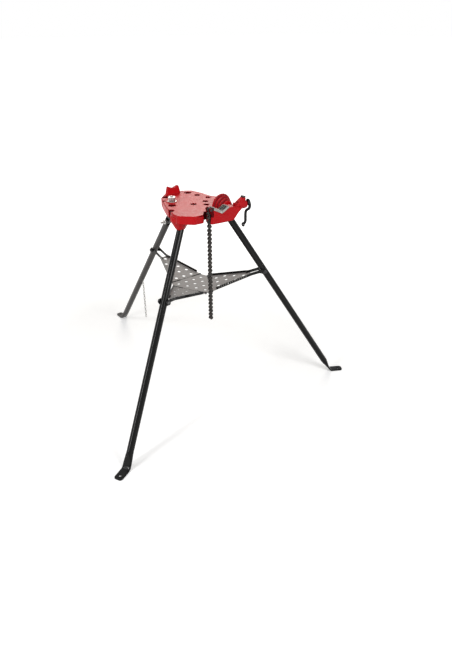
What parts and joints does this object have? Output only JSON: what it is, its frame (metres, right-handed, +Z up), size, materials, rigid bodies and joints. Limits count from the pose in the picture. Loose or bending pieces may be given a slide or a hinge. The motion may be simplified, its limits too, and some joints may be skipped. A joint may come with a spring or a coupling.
{
  "type": "tripod pipe vise stand",
  "caption": "Folding tripod stand with a chain pipe vise, pipe bender and rear rest on a cast base, and a hinged tool tray between tubular legs",
  "frame": {"origin": "On the floor under the middle of the box round the stand", "axes": "+Z up, -Y towards the person at the vise, +X to their right, a clamped pipe along Y"},
  "size_m": [1.215, 1.1684, 0.891],
  "materials": {
    "red_casting": "gloss enamel on cast iron",
    "black_tube": "gloss enamel",
    "tray_sheet": "satin sheet",
    "jaw_steel": "machined",
    "chain_steel": "oiled",
    "dark_steel": "blackened",
    "zinc_steel": "zinc plated"
  },
  "bodies": {
    "base": {"base_casting": "red_casting", "jaw_left": "jaw_steel", "jaw_right": "jaw_steel", "arm_cap": "dark_steel", "chain_anchor_pin": "zinc_steel", "leg_pin_left": "zinc_steel", "leg_pin_right": "zinc_steel", "leg_pin_rear": "zinc_steel", "rear_leg_bracket": "black_tube", "rear_pin_collar": "zinc_steel"},
    "leg_left": {"leg_left": "black_tube", "tray_bolt_left": "zinc_steel"},
    "leg_right": {"leg_right": "black_tube", "tray_bolt_right": "zinc_steel"},
    "leg_rear": {"leg_rear": "black_tube", "tray_bolt_rear": "zinc_steel", "tie_eye": "zinc_steel"},
    "tray_panel": {"tray_panel": "tray_sheet", "fold_pin_left": "dark_steel", "fold_pin_right": "dark_steel", "fold_pin_rear": "dark_steel"},
    "tray_leaf_left": {"tray_leaf_left": "tray_sheet"},
    "tray_leaf_right": {"tray_leaf_right": "tray_sheet"},
    "tray_leaf_rear": {"tray_leaf_rear": "tray_sheet"},
    "clamp_screw": {"clamp_screw": "dark_steel", "crank_handle": "black_tube", "crank_nut": "dark_steel"},
    "draw_hook": {"draw_hook": "jaw_steel"},
    "chain_top": {"chain_top": "chain_steel"},
    "chain_middle": {"chain_middle": "chain_steel"},
    "chain_bottom": {"chain_bottom": "chain_steel"},
    "brace_nut": {"brace_nut": "zinc_steel", "brace_washer": "zinc_steel"},
    "brace_stem": {"brace_stem": "dark_steel"},
    "tie_chain": {"tie_chain": "zinc_steel"}
  },
  "joints": [
    {"name": "leg_left_fold", "type": "hinge", "parent": "base", "child": "leg_left", "pos_m": [-0.10131, -0.30107, 0.806], "axis": [0.4761, -0.8794, 0], "range_deg": [0, 32.5]},
    {"name": "leg_right_fold", "type": "hinge", "parent": "base", "child": "leg_right", "pos_m": [0.10131, -0.30107, 0.806], "axis": [0.4761, 0.8794, 0], "range_deg": [0, 32.5]},
    {"name": "leg_rear_fold", "type": "hinge", "parent": "base", "child": "leg_rear", "pos_m": [0, -0.02572, 0.715], "axis": [-1, 0, 0], "range_deg": [0, 37.81]},
    {"name": "tray_drop", "type": "slide", "parent": "base", "child": "tray_panel", "axis": [0, 0, -1], "range_m": [0, 0.2222]},
    {"name": "tray_leaf_left_fold", "type": "hinge", "parent": "tray_panel", "child": "tray_leaf_left", "pos_m": [-0.04423, -0.27017, 0.493], "axis": [-0.4761, 0.8794, 0], "range_deg": [0, 61.03]},
    {"name": "tray_leaf_right_fold", "type": "hinge", "parent": "tray_panel", "child": "tray_leaf_right", "pos_m": [0.04423, -0.27017, 0.493], "axis": [-0.4761, -0.8794, 0], "range_deg": [0, 61.03]},
    {"name": "tray_leaf_rear_fold", "type": "hinge", "parent": "tray_panel", "child": "tray_leaf_rear", "pos_m": [0, -0.15262, 0.493], "axis": [1, 0, 0], "range_deg": [0, 49.48]},
    {"name": "crank_turn", "type": "hinge", "parent": "base", "child": "clamp_screw", "pos_m": [0.122, -0.39862, 0.858], "axis": [1, 0, 0], "range_deg": [0, 1080]},
    {"name": "hook_draw", "type": "slide", "parent": "base", "child": "draw_hook", "axis": [1, 0, 0], "range_m": [0, 0.015]},
    {"name": "chain_lift", "type": "hinge", "parent": "base", "child": "chain_top", "pos_m": [-0.046, -0.39862, 0.867], "axis": [0, 1, 0], "range_deg": [0, 90]},
    {"name": "chain_hang", "type": "hinge", "parent": "chain_top", "child": "chain_middle", "pos_m": [-0.046, -0.39862, 0.8035], "axis": [0, 1, 0], "range_deg": [-90, 0]},
    {"name": "chain_swing", "type": "hinge", "parent": "chain_middle", "child": "chain_bottom", "pos_m": [-0.046, -0.39862, 0.613], "axis": [0, 1, 0], "range_deg": [-20, 20]},
    {"name": "brace_nut_turn", "type": "hinge", "parent": "base", "child": "brace_nut", "pos_m": [-0.065, -0.17562, 0.847], "axis": [0, 0, 1], "range_deg": [0, 1440]},
    {"name": "brace_stem_rise", "type": "slide", "parent": "base", "child": "brace_stem", "axis": [0, 0, 1], "range_m": [0, 0.024]},
    {"name": "tie_chain_swing", "type": "hinge", "parent": "leg_rear", "child": "tie_chain", "pos_m": [0, 0.25217, 0.31691], "axis": [1, 0, 0], "range_deg": [-20, 20]}
  ],
  "couplings": [
    {"joint": "leg_right_fold", "follows": "leg_left_fold", "ratio": 1},
    {"joint": "leg_rear_fold", "follows": "leg_left_fold", "ratio": 1.1631},
    {"joint": "tray_drop", "follows": "leg_left_fold", "m_per_rad": 0.3913},
    {"joint": "tray_leaf_left_fold", "follows": "leg_left_fold", "ratio": 1.8763},
    {"joint": "tray_leaf_right_fold", "follows": "leg_left_fold", "ratio": 1.8763},
    {"joint": "tray_leaf_rear_fold", "follows": "leg_left_fold", "ratio": 1.5209},
    {"joint": "hook_draw", "follows": "crank_turn", "m_per_rad": 0.00079577},
    {"joint": "chain_hang", "follows": "chain_lift", "ratio": -1},
    {"joint": "brace_stem_rise", "follows": "brace_nut_turn", "m_per_rad": 0.00095493}
  ]
}
